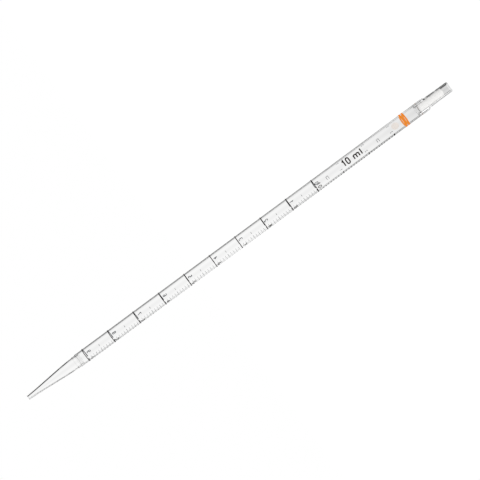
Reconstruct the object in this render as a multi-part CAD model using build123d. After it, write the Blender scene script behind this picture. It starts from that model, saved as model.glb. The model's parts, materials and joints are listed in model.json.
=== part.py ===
from build123d import *

import os
from math import cos, pi, radians, sin

# Disposable 10 ml graduated pipette: extruded barrel, moulded tip, moulded mouthpiece, filter plug, print.
# All sizes are in millimetres. +Z runs up the axis, and the origin is the centre of the tip's orifice.
# Angles around the axis are in degrees, start at the front (-Y) and grow towards +X.

# ---- barrel ----
LENGTH = 345.0
BARREL_R = 4.73
BARREL_WALL = 0.82
BARREL_BORE_R = BARREL_R - BARREL_WALL
BARREL_BOTTOM = 40.7
BARREL_TOP = 320.1

# ---- tip: a slim nose, a steep cone, then a socket with a flange that meets the barrel. The wall is even ----
ORIFICE_R = 0.85
TIP_END_R = 1.68
TIP_NOSE_R = 1.93
TIP_NOSE_TOP = 5.9
TIP_CONE_R = 3.78
TIP_CONE_TOP = 27.6
TIP_WALL = 0.7
TIP_SOCKET_R = 4.2
TIP_SOCKET_BORE_R = TIP_SOCKET_R - TIP_WALL
TIP_SOCKET_BOTTOM = 34.8
TIP_NECK_R = 4.3
TIP_FLANGE_R = 4.44
TIP_FLANGE_BOTTOM = 38.6

# ---- mouthpiece: a collar on the barrel's end, a round shoulder, a flare, then the mouth tube ----
# The bore widens with the flare, so that the wall stays even, and runs straight below it.
COLLAR_R = 4.75
COLLAR_TOP = 324.4
SHOULDER_R = 4.15
SHOULDER_TOP = 326.4
FLARE_R = 3.97
FLARE_BOTTOM = 328.2
FLARE_TOP = 334.5
MOUTH_R = 3.78
MOUTH_WALL = 1.0
MOUTH_BORE_R = MOUTH_R - MOUTH_WALL
FLARE_BORE_R = FLARE_R - MOUTH_WALL
MOUTH_EDGE = 0.3

# ---- spigots that locate the tip and the mouthpiece in the barrel before welding ----
SPIGOT_DEPTH = 2.2
SPIGOT_GAP = 0.015
SPIGOT_R = BARREL_BORE_R - SPIGOT_GAP

# ---- filter plug ----
PLUG_BOTTOM = 319.7
PLUG_TOP = 339.7
PLUG_GAP = 0.02
PLUG_R = MOUTH_BORE_R - PLUG_GAP
PLUG_ROUND = 0.9

# ---- printed scale: one millilitre of bore sets the pitch ----
CUBIC_MM_PER_ML = 1000.0
ML_PITCH = CUBIC_MM_PER_ML / (pi * BARREL_BORE_R**2)
FULL_ML = 10
OVERFLOW_ML = 3
LOWEST_RING_Z = 47.0
ZERO_Z = LOWEST_RING_Z + (FULL_ML - 1) * ML_PITCH
INK = 0.03
RING_ANGLES, RING_WIDTH = (158, 498), 0.5
HALF_ANGLES, HALF_DASH_ANGLES, HALF_WIDTH = (80, 150), (171, 190), 0.24
TENTH_ANGLES, TENTH_WIDTH = (80, 148), 0.16
OVER_MAJOR_ANGLES, OVER_MAJOR_WIDTH = (45, 95), 0.5
OVER_HALF_ANGLES, OVER_TENTH_ANGLES, OVER_WIDTH = (57, 95), (62, 95), 0.26

# ---- printed figures ----
FIGURE_HEIGHT, FIGURE_STROKE = 2.5, 0.44
FIGURE_RISE = 1.15
UP_COLUMN_ANGLE = 52
DOWN_COLUMN_ANGLE = 192
TEN_ANGLE, TEN_SPREAD = 17, 13
OVER_FIGURE_HEIGHT, OVER_FIGURE_STROKE = 1.8, 0.22
OVER_FIGURE_ANGLES = (154, 226)
BRACKET_VOLUMES, BRACKET_ANGLES = (-0.5, -2.5), (152, 184)
BRACKET_HEIGHT, BRACKET_STROKE = 1.5, 0.26
LABEL_HEIGHT, LABEL_STROKE = 4.05, 0.85
LABEL_BOTTOM, LABEL_TOP = 257.0, 272.6
LABEL_SHIFT = 0.46
LABEL_SPACE = 1.6

# ---- printed colour code ----
BAND_CENTRES, BAND_WIDTH = (306.8, 308.8), 1.1
SPOT_CENTRE, SPOT_LENGTH, SPOT_WIDTH = 300.1, 5.25, 4.6
SPOT_ANGLE = -3


def lathe(outline):
    """A solid of revolution about the axis, from a closed outline drawn as (radius, height)."""
    return revolve(Plane.XZ * make_face(outline), Axis.Z, 360)


def print_line(angles, height, width):
    """A line of ink around the barrel between two angles, centred on a height."""
    start, end = angles
    low, high = height - width / 2, height + width / 2
    inner, outer = BARREL_R, BARREL_R + INK
    section = make_face(Polyline((inner, low), (outer, low), (outer, high), (inner, high), close=True))
    return Rot(Z=start - 90) * revolve(Plane.XZ * section, Axis.Z, end - start)


def facing_plane(angle, height, up_the_axis=False):
    """A plane through the axis point at a height, facing outwards. Its x runs around, or up the axis."""
    outward = (sin(radians(angle)), -cos(radians(angle)), 0)
    around = (cos(radians(angle)), sin(radians(angle)), 0)
    return Plane(origin=(0, 0, height), x_dir=(0, 0, 1) if up_the_axis else around, z_dir=outward)


def print_shape(sketch, plane):
    """Ink in the shape of a flat sketch, laid on the side of the barrel that the plane faces."""
    prism = plane * extrude(sketch, BARREL_R + 2 * INK, dir=(0, 0, 1))
    box = prism.bounding_box()
    height = box.size.Z + 1
    skin = Cylinder(BARREL_R + INK, height) - Cylinder(BARREL_R, height + 1)
    return (Pos(Z=box.center().Z) * skin) & prism


def loop(centre, radius):
    """A full circle as two half turns, which a pen can trace."""
    return [CenterArc(centre, radius, 0, 180), CenterArc(centre, radius, 180, 180)]


def figure(symbol, h, stroke):
    """A figure or letter as pen strokes, whose centre lines stand on the x axis from 0 and rise to h."""
    w, r = h / 2, h / 4
    upper, lower = (w / 2, 3 * r), (w / 2, r)
    if symbol == "9":
        return Pos(w, h) * Rot(Z=180) * figure("6", h, stroke)
    if symbol == "0":
        sides = [Line((0, r), (0, 3 * r)), Line((w, r), (w, 3 * r))]
        lines = sides + [CenterArc(upper, r, 0, 180), CenterArc(lower, r, 180, 180)]
    elif symbol == "1":
        lines = [Polyline((0.1 * w, 0.76 * h), (0.55 * w, h), (0.55 * w, 0))]
    elif symbol == "2":
        bend = CenterArc(upper, r, 170, -205)
        lines = [bend, Polyline(bend @ 1, (0, 0), (w, 0))]
    elif symbol == "3":
        lines = [CenterArc(upper, r, 155, -245), CenterArc(lower, r, 90, -245)]
    elif symbol == "4":
        lines = [Line((0.72 * w, 0), (0.72 * w, h)), Polyline((0.72 * w, h), (0, 0.3 * h), (w, 0.3 * h))]
    elif symbol == "5":
        flag = Polyline((0.95 * w, h), (0.1 * w, h), (0.1 * w, 0.5 * h), (0.5 * w, 0.5 * h))
        lines = [flag, CenterArc(lower, r, 90, -245)]
    elif symbol == "6":
        lines = loop(lower, r) + [Line((0, r), (0, 3 * r)), CenterArc(upper, r, 180, -150)]
    elif symbol == "7":
        lines = [Polyline((0, h), (w, h), (0.35 * w, 0))]
    elif symbol == "8":
        lines = loop(upper, r) + loop(lower, r)
    elif symbol == "m":
        stems = [Line((x, 0), (x, 0.66 * h)) for x in (0, w, 2 * w)]
        lines = stems + [CenterArc((x, 0.66 * h - r), r, 0, 180) for x in (w / 2, 3 * w / 2)]
    elif symbol == "l":
        lines = [Line((0, 0), (0, h))]
    strokes = [trace(line, stroke) for line in lines]
    return Sketch() + strokes


def print_figure(symbol, angle, height, size=FIGURE_HEIGHT, stroke=FIGURE_STROKE):
    """An upright figure on the barrel, centred on an angle, with its foot at a height."""
    sketch = Pos(-size / 4, 0) * figure(symbol, size, stroke)
    return print_shape(sketch, facing_plane(angle, height))


def millilitre_height(volume):
    """Height of the graduation for a drawn volume: 0 at the top of the scale, negative above it."""
    return ZERO_Z - volume * ML_PITCH


def make_barrel():
    height = BARREL_TOP - BARREL_BOTTOM
    middle = (BARREL_TOP + BARREL_BOTTOM) / 2
    return Pos(Z=middle) * (Cylinder(BARREL_R, height) - Cylinder(BARREL_BORE_R, height))


def make_tip():
    spigot_top = BARREL_BOTTOM + SPIGOT_DEPTH
    outline = Polyline(
        (ORIFICE_R, 0),
        (TIP_END_R, 0),
        (TIP_NOSE_R, TIP_NOSE_TOP),
        (TIP_CONE_R, TIP_CONE_TOP),
        (TIP_SOCKET_R, TIP_SOCKET_BOTTOM),
        (TIP_NECK_R, TIP_FLANGE_BOTTOM),
        (TIP_FLANGE_R, TIP_FLANGE_BOTTOM),
        (TIP_FLANGE_R, BARREL_BOTTOM),
        (SPIGOT_R, BARREL_BOTTOM),
        (SPIGOT_R, spigot_top),
        (TIP_SOCKET_BORE_R, spigot_top),
        (TIP_SOCKET_BORE_R, TIP_SOCKET_BOTTOM),
        (TIP_CONE_R - TIP_WALL, TIP_CONE_TOP),
        (TIP_NOSE_R - TIP_WALL, TIP_NOSE_TOP),
        close=True,
    )
    return lathe(outline)


def make_mouthpiece():
    spigot_bottom = BARREL_TOP - SPIGOT_DEPTH
    below = Polyline(
        (FLARE_BORE_R, spigot_bottom),
        (SPIGOT_R, spigot_bottom),
        (SPIGOT_R, BARREL_TOP),
        (COLLAR_R, BARREL_TOP),
        (COLLAR_R, COLLAR_TOP),
    )
    reach, rise = COLLAR_R - SHOULDER_R, SHOULDER_TOP - COLLAR_TOP
    shoulder = EllipticalCenterArc((SHOULDER_R, COLLAR_TOP), reach, rise, start_angle=0, arc_size=90)
    above = Polyline(
        (SHOULDER_R, SHOULDER_TOP),
        (FLARE_R, FLARE_BOTTOM),
        (MOUTH_R, FLARE_TOP),
        (MOUTH_R, LENGTH),
        (MOUTH_BORE_R, LENGTH),
        (MOUTH_BORE_R, FLARE_TOP),
        (FLARE_BORE_R, FLARE_BOTTOM),
        (FLARE_BORE_R, spigot_bottom),
    )
    body = lathe([below, shoulder, above])
    mouth_edges = body.edges().filter_by(GeomType.CIRCLE).group_by(Axis.Z)[-1]
    return fillet(mouth_edges, MOUTH_EDGE)


def make_filter_plug():
    height = PLUG_TOP - PLUG_BOTTOM
    plug = Pos(Z=(PLUG_TOP + PLUG_BOTTOM) / 2) * Cylinder(PLUG_R, height)
    return fillet(plug.edges().filter_by(GeomType.CIRCLE), PLUG_ROUND)


def make_graduation_rings():
    return [print_line(RING_ANGLES, millilitre_height(v), RING_WIDTH) for v in range(FULL_ML)]


def make_half_marks():
    """A line at each half millilitre, and a short dash apart from it on the back."""
    heights = [millilitre_height(whole + 0.5) for whole in range(FULL_ML - 1)]
    return [print_line(a, z, HALF_WIDTH) for z in heights for a in (HALF_ANGLES, HALF_DASH_ANGLES)]


def make_tenth_marks():
    tenths = [n for n in range(1, 10 * (FULL_ML - 1)) if n % 5]
    return [print_line(TENTH_ANGLES, millilitre_height(n / 10), TENTH_WIDTH) for n in tenths]


def make_overflow_marks():
    marks = []
    for n in range(1, 10 * OVERFLOW_ML + 1):
        angles, width = OVER_TENTH_ANGLES, OVER_WIDTH
        if n % 10 == 0:
            angles, width = OVER_MAJOR_ANGLES, OVER_MAJOR_WIDTH
        elif n % 5 == 0:
            angles = OVER_HALF_ANGLES
        marks.append(print_line(angles, millilitre_height(-n / 10), width))
    return marks


def make_up_column():
    """Figures for the volume drawn up: 1 at the lowest ring, 9 at the ring below the top of the scale."""
    feet = {v: millilitre_height(FULL_ML - v) + FIGURE_RISE for v in range(1, FULL_ML)}
    return [print_figure(str(v), UP_COLUMN_ANGLE, foot) for v, foot in feet.items()]


def make_down_column():
    """Figures for the volume let out: 0 at the top of the scale and 9 at the lowest ring."""
    feet = {v: millilitre_height(v) + FIGURE_RISE for v in range(FULL_ML)}
    return [print_figure(str(v), DOWN_COLUMN_ANGLE, foot) for v, foot in feet.items()]


def make_overflow_figures():
    """Small figures on both sides of the back for each millilitre above the scale, and two brackets."""
    pieces = []
    size, stroke = OVER_FIGURE_HEIGHT, OVER_FIGURE_STROKE
    for volume in range(1, OVERFLOW_ML + 1):
        foot = millilitre_height(-volume) - size / 2
        pieces += [print_figure(str(volume), angle, foot, size, stroke) for angle in OVER_FIGURE_ANGLES]
    for volume in BRACKET_VOLUMES:
        middle = millilitre_height(volume)
        back = Rectangle(BRACKET_STROKE, BRACKET_HEIGHT + BRACKET_STROKE)
        pieces.append(print_shape(back, facing_plane(BRACKET_ANGLES[1], middle)))
        for side in (-1, 1):
            pieces.append(print_line(BRACKET_ANGLES, middle + side * BRACKET_HEIGHT / 2, BRACKET_STROKE))
    return pieces


def make_ten_figures():
    """The full volume at the top of the scale, on the front: a 1 and a 0 side by side."""
    foot = ZERO_Z + FIGURE_RISE
    return [print_figure(s, TEN_ANGLE + side * TEN_SPREAD, foot) for s, side in (("1", -1), ("0", 1))]


def make_capacity_label():
    """The capacity in large letters that read up the barrel, spaced out to fill the label's length."""
    h = LABEL_HEIGHT
    widths = {"1": 0.28 * h, "0": h / 2, "m": h, "l": 0}
    room = LABEL_TOP - LABEL_BOTTOM - LABEL_STROKE - LABEL_SPACE
    gap = (room - sum(widths.values())) / (len(widths) - 1)
    pieces = []
    z = LABEL_BOTTOM + LABEL_STROKE / 2
    for letter, width in widths.items():
        if letter == "m":
            z += LABEL_SPACE
        sketch = Pos(0, LABEL_SHIFT - h / 2) * figure(letter, h, LABEL_STROKE)
        pieces.append(print_shape(sketch, facing_plane(0, z, up_the_axis=True)))
        z += width + gap
    return pieces


def make_colour_band():
    return [print_line((0, 360), height, BAND_WIDTH) for height in BAND_CENTRES]


def make_marking_spot():
    spot = Ellipse(SPOT_LENGTH / 2, SPOT_WIDTH / 2)
    return print_shape(spot, facing_plane(SPOT_ANGLE, SPOT_CENTRE, up_the_axis=True))


parts = {
    "barrel": make_barrel(),
    "tip": make_tip(),
    "mouthpiece": make_mouthpiece(),
    "filter_plug": make_filter_plug(),
    "graduation_rings": make_graduation_rings(),
    "half_millilitre_marks": make_half_marks(),
    "tenth_millilitre_marks": make_tenth_marks(),
    "overflow_marks": make_overflow_marks(),
    "overflow_figures": make_overflow_figures(),
    "ascending_figures": make_up_column(),
    "descending_figures": make_down_column(),
    "ten_figures": make_ten_figures(),
    "capacity_label": make_capacity_label(),
    "colour_band": make_colour_band(),
    "marking_spot": make_marking_spot(),
}
os.makedirs("parts", exist_ok=True)
for node, shape in parts.items():
    pieces = shape if isinstance(shape, list) else [shape]
    solids = [solid for piece in pieces for solid in piece.solids()]
    export_step(Compound(solids, label=node), f"parts/{node}.step")
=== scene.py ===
import json
import math
import random

import bmesh
import bpy
from mathutils import Matrix, Vector, noise


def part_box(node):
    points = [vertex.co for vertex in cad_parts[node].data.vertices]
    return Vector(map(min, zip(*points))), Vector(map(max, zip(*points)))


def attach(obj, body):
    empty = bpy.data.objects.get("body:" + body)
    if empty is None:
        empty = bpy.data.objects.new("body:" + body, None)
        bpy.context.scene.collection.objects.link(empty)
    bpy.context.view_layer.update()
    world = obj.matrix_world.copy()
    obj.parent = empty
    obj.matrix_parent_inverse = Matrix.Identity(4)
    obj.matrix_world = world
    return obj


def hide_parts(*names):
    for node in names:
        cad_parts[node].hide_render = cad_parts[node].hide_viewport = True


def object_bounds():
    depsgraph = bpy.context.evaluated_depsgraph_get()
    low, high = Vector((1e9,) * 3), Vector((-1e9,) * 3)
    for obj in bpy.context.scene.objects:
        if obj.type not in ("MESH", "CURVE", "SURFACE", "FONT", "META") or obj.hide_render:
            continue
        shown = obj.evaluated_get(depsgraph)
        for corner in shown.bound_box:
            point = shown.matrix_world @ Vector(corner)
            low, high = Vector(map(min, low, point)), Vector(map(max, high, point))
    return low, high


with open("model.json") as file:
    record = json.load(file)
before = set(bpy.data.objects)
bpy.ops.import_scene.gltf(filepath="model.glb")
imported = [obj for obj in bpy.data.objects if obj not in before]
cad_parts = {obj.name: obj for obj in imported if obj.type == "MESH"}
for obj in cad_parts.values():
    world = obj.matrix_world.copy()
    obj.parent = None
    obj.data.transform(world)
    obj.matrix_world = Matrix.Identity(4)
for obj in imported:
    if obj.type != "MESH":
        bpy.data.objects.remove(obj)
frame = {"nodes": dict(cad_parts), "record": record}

# A clear 10 ml graduated pipette. +Z runs up its axis and -Y faces the front. Blender works in metres, and
# the sizes of the object are in millimetres here, so they are multiplied by MM where a mesh is made.
# The clear plastic is turned as fine meshes on the CAD sizes, the print is the CAD print wrapped closely
# on the barrel, and the filter plug is a wad of fibre.

MM = 0.001
CAD_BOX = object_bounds()
NODES = frame["nodes"]
PIPETTE, FILTER = "pipette", "filter"
SMOOTH_BELOW = math.radians(28)


# ---------------------------------------------------------------- sizes from the frame, in millimetres

def radii(node):
    """Least and greatest distance of a CAD node's corners from the axis."""
    distances = [math.hypot(v.co.x, v.co.y) / MM for v in NODES[node].data.vertices]
    return min(distances), max(distances)


def span(node):
    """Lowest and highest point of a CAD node."""
    low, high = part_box(node)
    return low.z / MM, high.z / MM


BORE_R, BARREL_R = radii("barrel")
BARREL_LOW, BARREL_HIGH = span("barrel")
TIP_TOP = span("tip")[1]
MOUTHPIECE_LOW, LENGTH = span("mouthpiece")
MOUTH_BORE_R, COLLAR_R = radii("mouthpiece")
MOUTH_R = next(m["dims"]["r_mm"] for m in frame["record"]["mounts"] if m["name"] == "mouth_end")
PLUG_R = radii("filter_plug")[1]
PLUG_LOW, PLUG_HIGH = span("filter_plug")
SPIGOT_GAP = 0.015
SPIGOT_R = BORE_R - SPIGOT_GAP


# ---------------------------------------------------------------- materials

class Graph:
    """A material's or the world's node tree, with short calls to add and link nodes."""

    def __init__(self, tree):
        self.tree = tree
        self.tree.nodes.clear()

    def add(self, kind, values=None, **settings):
        node = self.tree.nodes.new(kind)
        for name, value in settings.items():
            setattr(node, name, value)
        for name, value in (values or {}).items():
            if isinstance(value, bpy.types.NodeSocket):
                self.tree.links.new(value, node.inputs[name])
            else:
                node.inputs[name].default_value = value
        return node

    def math(self, operation, a, b=0.0, c=0.0):
        return self.add("ShaderNodeMath", {0: a, 1: b, 2: c}, operation=operation).outputs[0]

    def vector(self, operation, a, b=(0, 0, 0)):
        node = self.add("ShaderNodeVectorMath", {0: a, 1: b}, operation=operation)
        return node.outputs["Value" if operation == "DOT_PRODUCT" else "Vector"]

    def mix(self, factor, a, b, **settings):
        return self.add("ShaderNodeMix", {0: factor, 6: a, 7: b}, data_type="RGBA", **settings).outputs[2]

    def blend(self, factor, first, second):
        return self.add("ShaderNodeMixShader", {0: factor, 1: first, 2: second}).outputs[0]

    def ramp(self, factor, stops):
        node = self.add("ShaderNodeValToRGB", {"Fac": factor})
        elements = node.color_ramp.elements
        while len(elements) < len(stops):
            elements.new(1.0)
        for element, (place, value) in zip(elements, stops):
            element.position = place
            element.color = (value, value, value, 1) if isinstance(value, (int, float)) else (*value, 1)
        return node.outputs["Color"]


def new_material(name):
    material = bpy.data.materials.new(name)
    material.use_nodes = True
    return material, Graph(material.node_tree)


WHITE = (1, 1, 1, 1)
POLYSTYRENE_IOR = 1.59
CRITICAL_COSINE = math.sqrt(1 - 1 / POLYSTYRENE_IOR ** 2)


def clear_plastic():
    """Polished polystyrene with faint draw lines. Light is bent at each face, or thrown back inside."""
    material, g = new_material("clear_polystyrene")
    place = g.add("ShaderNodeTexCoord").outputs["Object"]
    stretched = g.add("ShaderNodeMapping", {"Vector": place, "Scale": (1.0, 1.0, 0.02)}).outputs[0]
    lines = g.add("ShaderNodeTexNoise", {"Vector": stretched, "Scale": 900.0, "Detail": 2.0}).outputs["Fac"]
    tint = g.mix(lines, (0.970, 0.970, 0.970, 1), (0.980, 0.980, 0.979, 1))
    geometry = g.add("ShaderNodeNewGeometry").outputs
    cosine = g.math("ABSOLUTE", g.vector("DOT_PRODUCT", geometry["Incoming"], geometry["Normal"]))
    flat_to_face = g.math("LESS_THAN", cosine, CRITICAL_COSINE)
    thrown_back = g.math("MULTIPLY", flat_to_face, geometry["Backfacing"])
    bend = g.add("ShaderNodeBsdfRefraction", {"Color": tint, "Roughness": 0.0, "IOR": POLYSTYRENE_IOR})
    mirror = g.add("ShaderNodeBsdfAnisotropic", {"Color": WHITE, "Roughness": 0.0})
    g.add("ShaderNodeOutputMaterial", {"Surface": g.blend(thrown_back, bend.outputs[0], mirror.outputs[0])})
    return material


INSIDE_FACING = -0.5
INK_SHADE, INK_SHADE_RANGE = 0.75, 0.5


def ink(name, outside, inside):
    """Printed ink: a matt outside, and an even inside seen through the tube, painted as a glow that stands in
    for the light behind it.
    """
    material, g = new_material(name)
    place = g.add("ShaderNodeTexCoord").outputs["Object"]
    geometry = g.add("ShaderNodeNewGeometry").outputs
    outward = g.vector("NORMALIZE", g.vector("MULTIPLY", geometry["Position"], (1, 1, 0)))
    facing = g.vector("DOT_PRODUCT", outward, geometry["True Normal"])
    is_inside = g.math("LESS_THAN", facing, INSIDE_FACING)
    patchy = g.add("ShaderNodeTexNoise", {"Vector": place, "Scale": 2500.0, "Detail": 3.0}).outputs["Fac"]
    shade = g.math("MULTIPLY_ADD", patchy, INK_SHADE_RANGE, INK_SHADE)
    bump = g.add("ShaderNodeBump", {"Height": patchy, "Strength": 0.3, "Distance": 0.00002}).outputs[0]
    colours = [g.mix(1.0, (*colour, 1), shade, blend_type="MULTIPLY") for colour in (outside, inside)]
    matt = g.add("ShaderNodeBsdfDiffuse", {"Color": colours[0], "Normal": bump})
    # Painted light: the inside is an emission in the ink's inside colour, in place of the light from behind
    # the tube.
    painted_backlight = g.add("ShaderNodeEmission", {"Color": colours[1]})
    g.add("ShaderNodeOutputMaterial", {"Surface": g.blend(is_inside, matt.outputs[0], painted_backlight.outputs[0])})
    return material


# Painted light on the wad: an emission glow stands in for the light soaking through it. The painted glow is
# strongest in the middle, fades towards its outline as painted shade, and is lighter at +X as a painted side
# light.
WAD_PAINTED_MIDDLE_GLOW, WAD_PAINTED_EDGE_SHADE = 1.03, 0.85
WAD_PAINTED_LIGHT_FROM = (0.2, 0, 0)
WAD_PAINTED_GLOW_SHARE = 0.75


def filter_fibre():
    """White polyester wadding, with painted light: a glow that stands in for the light soaking through it."""
    material, g = new_material("filter_fibre")
    place = g.add("ShaderNodeTexCoord").outputs["Object"]
    fluff = g.add("ShaderNodeTexNoise", {"Vector": place, "Scale": 1800.0, "Detail": 6.0, "Distortion": 1.5})
    colour = g.ramp(fluff.outputs["Fac"], [(0.3, (0.985, 0.975, 0.965)), (0.65, (1.0, 0.995, 0.985))])
    bump = g.add("ShaderNodeBump", {"Height": fluff.outputs["Fac"], "Strength": 0.15, "Distance": 0.00005})
    front = g.add("ShaderNodeBsdfDiffuse", {"Color": colour, "Normal": bump.outputs[0]})
    # Painted light: the wad's glow is darker towards its outline and lighter on the side facing +X.
    edge = g.add("ShaderNodeLayerWeight", {"Blend": 0.5}).outputs["Facing"]
    painted_side_light = g.vector("DOT_PRODUCT", g.add("ShaderNodeNewGeometry").outputs["Normal"], WAD_PAINTED_LIGHT_FROM)
    painted_light_level = g.math("ADD", painted_side_light, WAD_PAINTED_MIDDLE_GLOW)
    painted_glow_strength = g.math("MULTIPLY_ADD", g.math("POWER", edge, 2.0), -WAD_PAINTED_EDGE_SHADE, painted_light_level)
    through = g.add("ShaderNodeEmission", {"Color": colour, "Strength": painted_glow_strength})
    surface = g.blend(WAD_PAINTED_GLOW_SHARE, front.outputs[0], through.outputs[0])
    g.add("ShaderNodeOutputMaterial", {"Surface": surface})
    return material


CLEAR = clear_plastic()
# Each ink has the colour of its outside and the colour of its inside. The inside colour is painted light: the
# glow of the ink seen through the tube against the light behind it.
INKS = {
    "black_ink": ink("black_ink", (0.016, 0.011, 0.009), (0.03, 0.036, 0.045)),
    "orange_ink": ink("orange_ink", (0.86, 0.25, 0.025), (0.84, 0.29, 0.055)),
    "pale_ink": ink("pale_ink", (0.80, 0.745, 0.70), (0.80, 0.745, 0.70)),
}
FIBRE = filter_fibre()


# ---------------------------------------------------------------- mesh helpers

def place_piece(name, mesh, material, body, slot, *nodes):
    piece = bpy.data.objects.new(name, mesh)
    bpy.context.scene.collection.objects.link(piece)
    mesh.materials.clear()
    mesh.materials.append(material)
    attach(piece, body)
    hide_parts(*nodes)
    return piece


def arc(centre, radius_x, radius_z, start, end, steps=6):
    """Points on a quarter turn or less about centre, from one angle to another in degrees."""
    angles = [math.radians(start + (end - start) * i / steps) for i in range(steps + 1)]
    return [(centre[0] + radius_x * math.cos(a), centre[1] + radius_z * math.sin(a)) for a in angles]


SUPPORT_REACH = 0.06
LONG_LINE = 6 * SUPPORT_REACH


def with_support(outline):
    """The outline with a point close to both ends of each long line, so that smoothing stays at its ends."""
    points = []
    for here, there in zip(outline, outline[1:] + outline[:1]):
        points.append(here)
        length = math.dist(here, there)
        if length > LONG_LINE:
            for part in (SUPPORT_REACH / length, 1 - SUPPORT_REACH / length):
                points.append(tuple(a + (b - a) * part for a, b in zip(here, there)))
    return points


def smooth_mesh(made, name):
    """The finished mesh of a bmesh, smooth but for its sharp edges."""
    mesh = bpy.data.meshes.new(name)
    made.to_mesh(mesh)
    made.free()
    mesh.shade_smooth()
    mesh.set_sharp_from_angle(angle=SMOOTH_BELOW)
    return mesh


def turned_mesh(name, outline, segments=192):
    """A ring-shaped mesh turned about the axis from a closed outline of (radius, height)."""
    made = bmesh.new()
    turn = [2 * math.pi * i / segments for i in range(segments)]
    rings = []
    for radius, height in with_support(outline):
        r, z = radius * MM, height * MM
        rings.append([made.verts.new((r * math.sin(a), -r * math.cos(a), z)) for a in turn])
    for low, high in zip(rings, rings[1:] + rings[:1]):
        for i in range(segments):
            made.faces.new((low[i], low[i - 1], high[i - 1], high[i]))
    bmesh.ops.recalc_face_normals(made, faces=made.faces)
    return smooth_mesh(made, name)


# ---------------------------------------------------------------- clear plastic pieces

# The barrel's sizes and the ends of the tip and the mouthpiece come from the frame, and the rest of their
# outlines is here. A pair in brackets is a point of (radius, height).
BARREL_EDGE = 0.12

TIP_END_R, TIP_END_ROUND, TIP_NOSE_LOW = 1.68, 0.08, (1.75, 1.5)
TIP_NOSE, TIP_CONE_LOW, TIP_CONE_HIGH = (1.93, 5.9), (2.02, 7.2), (3.78, 27.6)
TIP_SOCKET_LOW, TIP_SOCKET, TIP_NECK = (4.0, 30.6), (4.2, 34.8), (4.28, 38.3)
TIP_FLANGE = ((4.34, 38.6), (4.41, 38.75), (4.44, 39.0), (4.44, BARREL_LOW))
TIP_WALL = 0.7
ORIFICE_R, ORIFICE_TOP = 0.85, (1.0, 2.0)

COLLAR_TOP, SHOULDER_R, SHOULDER_RISE = 324.4, 4.15, 2.0
SHOULDER_FOOT = [(4.06, 327.0), (4.0, 327.6)]
FLARE_R, FLARE_BOTTOM, FLARE_TOP = 3.97, 328.2, 334.5
FLARE_BLEND, MOUTH_STRAIGHT_FROM = 0.01, 336.0
MOUTH_EDGE = 0.3
SPIGOT_CHAMFER = 0.1


def place_clear(name, outline, node):
    return place_piece(name, turned_mesh(name, outline), CLEAR, PIPETTE, "clear_polystyrene", node)


def make_barrel():
    edge = BARREL_EDGE
    outline = [(BORE_R, BARREL_LOW), (BARREL_R - edge, BARREL_LOW)]
    outline += arc((BARREL_R - edge, BARREL_LOW + edge), edge, edge, -90, 0)
    outline += arc((BARREL_R - edge, BARREL_HIGH - edge), edge, edge, 0, 90)
    outline += [(BORE_R, BARREL_HIGH)]
    place_clear("clear_barrel", outline, "barrel")


def make_tip():
    """A slim nose, a steep cone and a socket whose flange meets the barrel, with an even wall."""
    outline = [(ORIFICE_R, 0), (TIP_END_R - TIP_END_ROUND, 0), (TIP_END_R, TIP_END_ROUND)]
    outline += [TIP_NOSE_LOW, TIP_NOSE, TIP_CONE_LOW, TIP_CONE_HIGH]
    outline += [TIP_SOCKET_LOW, TIP_SOCKET, TIP_NECK, *TIP_FLANGE]
    outline += [(SPIGOT_R, BARREL_LOW), (SPIGOT_R, TIP_TOP), (TIP_SOCKET[0] - TIP_WALL, TIP_TOP)]
    outline += [(r - TIP_WALL, z) for r, z in (TIP_SOCKET, TIP_CONE_HIGH, TIP_CONE_LOW, TIP_NOSE)]
    outline += [ORIFICE_TOP]
    place_clear("clear_tip", outline, "tip")


def make_mouthpiece():
    """The collar on the barrel's end, a round shoulder and a flare, with a bore that keeps the wall even."""
    flare_bore = FLARE_R - (MOUTH_R - MOUTH_BORE_R)
    outline = [(MOUTH_BORE_R, FLARE_TOP), (flare_bore, FLARE_BOTTOM), (flare_bore, MOUTHPIECE_LOW)]
    outline += [(SPIGOT_R - SPIGOT_CHAMFER, MOUTHPIECE_LOW), (SPIGOT_R, MOUTHPIECE_LOW + SPIGOT_CHAMFER)]
    outline += [(SPIGOT_R, BARREL_HIGH), (COLLAR_R, BARREL_HIGH), (COLLAR_R, COLLAR_TOP)]
    outline += arc((SHOULDER_R, COLLAR_TOP), COLLAR_R - SHOULDER_R, SHOULDER_RISE, 10, 90, 8)
    outline += [*SHOULDER_FOOT, (FLARE_R, FLARE_BOTTOM)]
    outline += [(MOUTH_R + FLARE_BLEND, FLARE_TOP), (MOUTH_R, MOUTH_STRAIGHT_FROM)]
    outline += arc((MOUTH_R - MOUTH_EDGE, LENGTH - MOUTH_EDGE), MOUTH_EDGE, MOUTH_EDGE, 0, 90)
    outline += arc((MOUTH_BORE_R + MOUTH_EDGE, LENGTH - MOUTH_EDGE), MOUTH_EDGE, MOUTH_EDGE, 90, 180)
    place_clear("clear_mouthpiece", outline, "mouthpiece")


make_barrel()
make_tip()
make_mouthpiece()


# ---------------------------------------------------------------- print

WRAP_STEP = 5
WELD_DISTANCE = 1e-7
PRINT_INSIDE = BARREL_R - 0.01
PRINT_OUTSIDE = min(-CAD_BOX[0].x, CAD_BOX[1].x) / MM


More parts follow.
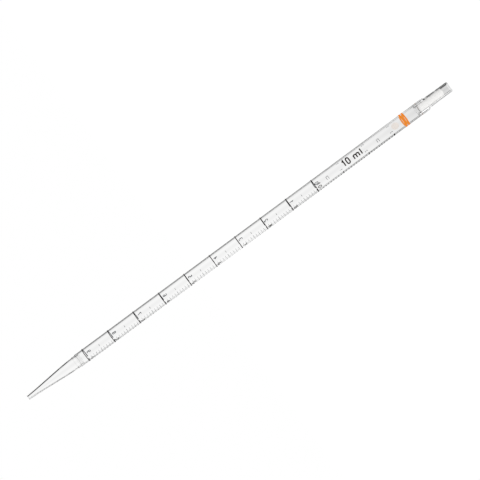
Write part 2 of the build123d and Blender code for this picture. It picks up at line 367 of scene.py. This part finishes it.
def wrapped_print(node):
    """A CAD print's mesh cut at every few degrees and laid on the round of the barrel."""
    low, high = radii(node)
    middle = (low + high) / 2
    made = bmesh.new()
    made.from_mesh(NODES[node].data)
    bmesh.ops.remove_doubles(made, verts=made.verts, dist=WELD_DISTANCE)
    for turn in range(0, 180, WRAP_STEP):
        normal = (math.cos(math.radians(turn)), math.sin(math.radians(turn)), 0)
        everything = made.verts[:] + made.edges[:] + made.faces[:]
        bmesh.ops.bisect_plane(made, geom=everything, dist=WELD_DISTANCE, plane_co=(0, 0, 0), plane_no=normal)
    for vert in made.verts:
        across = math.hypot(vert.co.x, vert.co.y) / MM
        radius = PRINT_OUTSIDE if across > middle else PRINT_INSIDE
        vert.co.x *= radius / across
        vert.co.y *= radius / across
    return smooth_mesh(made, "print_" + node)


for subpart in frame["record"]["subparts"]:
    node, slot = subpart["node"], subpart["material_slot"]
    if slot in INKS:
        place_piece("print_" + node, wrapped_print(node), INKS[slot], PIPETTE, slot, node)


# ---------------------------------------------------------------- filter plug

# Fibres: their radius, how far they stand off the wad at most, the length of a step along one, how much one
# turns at each step at most (in radians), and how far from the plug's ends they start and stay.
FIBRE_COUNT = 420
FIBRE_R, FIBRE_LIFT = 0.045, 0.05
FIBRE_STRIDE, FIBRE_BEND = 0.28, 0.25
FIBRE_START_MARGIN, FIBRE_MARGIN = 0.4, 0.2
FIBRE_LIMIT_R = PLUG_R - 1.2 * FIBRE_R
FIBRE_END_SCALE = 0.35

# The wad: how far it lies under the fibres, the height of its lumps, how close together they are around and
# along it, and how its ends are rounded.
WAD_R = PLUG_R - 2 * FIBRE_R
WAD_DEPTH, LUMP, FINE_LUMP = 0.12, 0.1, 0.06
LUMPS_AROUND, LUMPS_ALONG, FINER = 2.2, 0.9, 3
END_ROUND, END_LENGTH, END_GAP = 0.35, 1.0, 0.15
random.seed(7)


def wad_radius(angle, height):
    """The wad's lumpy surface, which stays inside the plug's own radius."""
    spot = Vector((math.sin(angle) * LUMPS_AROUND, math.cos(angle) * LUMPS_AROUND, height * LUMPS_ALONG))
    to_end = min(height - PLUG_LOW, PLUG_HIGH - height)
    rounding = 1 - END_ROUND * max(0.0, 1 - to_end / END_LENGTH) ** 2
    lumps = LUMP * noise.noise(spot) + FINE_LUMP * noise.noise(spot * FINER)
    return (WAD_R - WAD_DEPTH - lumps) * rounding


def skin(made, rings):
    """Faces between neighbouring rings of corners, and a cap on both ends."""
    for low, high in zip(rings, rings[1:]):
        for i in range(len(low)):
            made.faces.new((low[i - 1], low[i], high[i], high[i - 1]))
    made.faces.new(list(reversed(rings[0])))
    made.faces.new(rings[-1])


def add_wad(made, turns=72, layers=80):
    rings = []
    for k in range(layers + 1):
        z = PLUG_LOW + END_GAP + (PLUG_HIGH - PLUG_LOW - 2 * END_GAP) * k / layers
        ring = []
        for i in range(turns):
            a = 2 * math.pi * i / turns
            r = wad_radius(a, z)
            ring.append(made.verts.new((r * MM * math.sin(a), -r * MM * math.cos(a), z * MM)))
        rings.append(ring)
    skin(made, rings)


def fibre_path(steps):
    """Points of a fibre that wanders over the wad's surface, in metres."""
    angle = random.uniform(0, 2 * math.pi)
    z = random.uniform(PLUG_LOW + FIBRE_START_MARGIN, PLUG_HIGH - FIBRE_START_MARGIN)
    heading = random.uniform(0, 2 * math.pi)
    bend = random.uniform(-FIBRE_BEND, FIBRE_BEND)
    path = []
    for _ in range(steps):
        r = min(wad_radius(angle, z) + random.uniform(0, FIBRE_LIFT) + FIBRE_R, FIBRE_LIMIT_R)
        path.append(Vector((r * math.sin(angle), -r * math.cos(angle), z)) * MM)
        angle += FIBRE_STRIDE * math.cos(heading) / WAD_R
        z = min(max(z + FIBRE_STRIDE * math.sin(heading), PLUG_LOW + FIBRE_MARGIN), PLUG_HIGH - FIBRE_MARGIN)
        heading += bend
    return path


def add_fibre(made, steps=14, sides=5):
    """A thin closed tube along a fibre's path, with narrow ends."""
    path = fibre_path(steps)
    turn = [2 * math.pi * i / sides for i in range(sides)]
    rings = []
    for k, centre in enumerate(path):
        along = (path[min(k + 1, steps - 1)] - path[max(k - 1, 0)]).normalized()
        out = Vector((centre.x, centre.y, 0)).normalized()
        side = along.cross(out).normalized()
        out = side.cross(along).normalized()
        thick = FIBRE_R * MM * (FIBRE_END_SCALE if k in (0, steps - 1) else 1.0)
        ring = [centre + thick * (math.cos(a) * side + math.sin(a) * out) for a in turn]
        rings.append([made.verts.new(corner) for corner in ring])
    skin(made, rings)


def make_plug():
    made = bmesh.new()
    add_wad(made)
    for _ in range(FIBRE_COUNT):
        add_fibre(made)
    bmesh.ops.recalc_face_normals(made, faces=made.faces)
    mesh = bpy.data.meshes.new("fibre_plug")
    made.to_mesh(mesh)
    made.free()
    mesh.shade_smooth()
    place_piece("fibre_plug", mesh, FIBRE, FILTER, "filter_fibre", "filter_plug")


make_plug()


# ---------------------------------------------------------------- studio

# The camera looks along +Y at the middle of the pipette, tilted a little and rolled so that the pipette lies
# aslant in the picture. Its distance and place are in metres.
VIEW_ROLL = math.radians(36.47)
VIEW_TILT = math.radians(0.8)
VIEW_DISTANCE = 1.0087
VIEW_SIDE, VIEW_HEIGHT = -0.0006, 0.17357
LENS = 114.70


def make_camera():
    camera = bpy.data.objects.new("camera", bpy.data.cameras.new("camera"))
    bpy.context.scene.collection.objects.link(camera)
    camera.data.lens = LENS
    camera.data.clip_start = 0.01
    placed = Matrix.Translation((VIEW_SIDE, 0, VIEW_HEIGHT)) @ Matrix.Rotation(VIEW_TILT, 4, "X")
    quarter = math.radians(90)
    turned = Matrix.Rotation(quarter, 4, "X") @ Matrix.Rotation(quarter - VIEW_ROLL, 4, "Z")
    camera.matrix_world = placed @ Matrix.Translation((0, -VIEW_DISTANCE, 0)) @ turned
    bpy.context.scene.camera = camera


# The light around the tube, at six places along it from the tip to the mouthpiece. A place is the sine of
# the angle from the middle of the view. Next comes the brightness straight behind the tube. Then, for its
# left and its right side, comes the dark gap that draws the edge of the wall, from and to in degrees from
# straight behind, with the brightness just before the gap, just past it, and out at the side.
LIGHT = (
    (-0.2, 0.98, ((27, 98), (0.9, 0.3, 0.5)), ((28, 47), (1.0, 1.3, 0.6))),
    (-0.12, 0.96, ((27, 43), (0.86, 0.8, 0.6)), ((30, 40), (1.0, 1.1, 0.6))),
    (0.0, 0.98, ((27, 44), (0.86, 1.0, 0.6)), ((33, 37), (1.0, 1.3, 0.6))),
    (0.105, 0.92, ((28, 41), (0.8, 1.1, 0.6)), ((24, 40), (0.98, 1.2, 0.6))),
    (0.138, 0.82, ((29, 36), (0.78, 1.2, 0.6)), ((24, 41), (0.86, 1.2, 0.6))),
    (0.158, 0.71, ((18, 50), (0.7, 0.7, 0.6)), ((27, 43), (0.74, 1.4, 0.6))),
)
STRONGEST = 1.4
BACKDROP_STRENGTH = 1.02

# Angles are in degrees. The light is a little stronger just beside straight behind, fades softly into each
# gap, and keeps its panel's brightness for a while past the gap.
GLOW, GLOW_ANGLE = 1.08, 5
GAP_SOFTNESS = 2
PANEL_REACH, SIDE_ANGLE = 22, 102


def side_light(g, turn, behind, gap, brightness):
    """Brightness against the turn from straight behind: white, a dark gap, a bright panel and a dim side."""
    start, stop = gap
    near, panel, side = brightness
    stops = [(0, behind), (GLOW_ANGLE, behind * GLOW), (start - 4 * GAP_SOFTNESS, near)]
    stops += [(start + GAP_SOFTNESS, 0), (stop - GAP_SOFTNESS, 0), (stop + 2 * GAP_SOFTNESS, panel)]
    stops += [(min(stop + PANEL_REACH, SIDE_ANGLE - 1), panel), (SIDE_ANGLE, side)]
    return g.ramp(turn, [(angle / 180, value / STRONGEST) for angle, value in stops])


def make_world():
    """A white backdrop, and around the tube a soft ring of light with dark gaps that draw its edges.

    Directions are measured in the camera's own axes, so the ring stays behind the tube in every view.
    """
    world = bpy.data.worlds.new("studio")
    bpy.context.scene.world = world
    world.use_nodes = True
    world.cycles.sampling_method = "NONE"
    g = Graph(world.node_tree)
    direction = g.vector("NORMALIZE", g.add("ShaderNodeTexCoord").outputs["Camera"])
    ahead_axis = (0, 0, 1)
    upward = g.add("ShaderNodeVectorTransform", {"Vector": (0, 0, 1)}, vector_type="VECTOR",
                   convert_from="WORLD", convert_to="CAMERA").outputs[0]
    across_axis = g.vector("NORMALIZE", g.vector("CROSS_PRODUCT", upward, ahead_axis))
    along_axis = g.vector("CROSS_PRODUCT", ahead_axis, across_axis)
    ahead = g.vector("DOT_PRODUCT", direction, ahead_axis)
    across = g.vector("DOT_PRODUCT", direction, across_axis)
    along = g.vector("DOT_PRODUCT", direction, along_axis)
    turn = g.math("MULTIPLY", g.math("ARCTAN2", g.math("ABSOLUTE", across), ahead), 1 / math.pi)
    is_right = g.math("GREATER_THAN", across, 0.0)
    places = [place for place, *_ in LIGHT]
    rings = []
    for _, behind, left, right in LIGHT:
        rings.append(g.mix(is_right, side_light(g, turn, behind, *left), side_light(g, turn, behind, *right)))
    ring = rings[0]
    for low, high, next_ring in zip(places, places[1:], rings[1:]):
        passed = g.add("ShaderNodeMapRange", {0: along, 1: low, 2: high}).outputs[0]
        ring = g.mix(passed, ring, next_ring)
    seen_through = g.add("ShaderNodeBackground", {"Color": ring, "Strength": STRONGEST}).outputs[0]
    soft = g.add("ShaderNodeBackground", {"Color": WHITE, "Strength": 1.0}).outputs[0]
    backdrop = g.add("ShaderNodeBackground", {"Color": WHITE, "Strength": BACKDROP_STRENGTH}).outputs[0]
    path = g.add("ShaderNodeLightPath").outputs
    first = g.blend(g.math("GREATER_THAN", path["Diffuse Depth"], 0.5), seen_through, soft)
    g.add("ShaderNodeOutputWorld", {"Surface": g.blend(path["Is Camera Ray"], first, backdrop)})


FLOOR_REACH = 6.0
FLOOR_HEIGHT = -0.5 * MM


def make_floor():
    """A plain pale floor that the camera sees as even white, and that all other rays pass through to the
    world.
    """
    mesh = bpy.data.meshes.new("floor")
    corners = [(-FLOOR_REACH, -FLOOR_REACH), (FLOOR_REACH, -FLOOR_REACH)]
    corners += [(FLOOR_REACH, FLOOR_REACH), (-FLOOR_REACH, FLOOR_REACH)]
    mesh.from_pydata([(x, y, FLOOR_HEIGHT) for x, y in corners], [], [(0, 1, 2, 3)])
    floor = bpy.data.objects.new("floor", mesh)
    bpy.context.scene.collection.objects.link(floor)
    material, g = new_material("floor")
    pale = g.add("ShaderNodeEmission", {"Color": WHITE, "Strength": 1.0}).outputs[0]
    nothing = g.add("ShaderNodeBsdfTransparent").outputs[0]
    path = g.add("ShaderNodeLightPath").outputs
    g.add("ShaderNodeOutputMaterial", {"Surface": g.blend(path["Is Camera Ray"], nothing, pale)})
    mesh.materials.append(material)


# Light passes many faces of clear plastic and is thrown back inside it, so its paths are long.
MANY_BOUNCES = 32
TRANSPARENT_PASSES = 16

make_camera()
make_world()
make_floor()
scene = bpy.context.scene
scene.view_settings.view_transform = "Standard"
scene.cycles.max_bounces = MANY_BOUNCES
scene.cycles.transmission_bounces = MANY_BOUNCES
scene.cycles.glossy_bounces = MANY_BOUNCES
scene.cycles.transparent_max_bounces = TRANSPARENT_PASSES
scene.cycles.min_light_bounces = MANY_BOUNCES
scene.cycles.min_transparent_bounces = MANY_BOUNCES
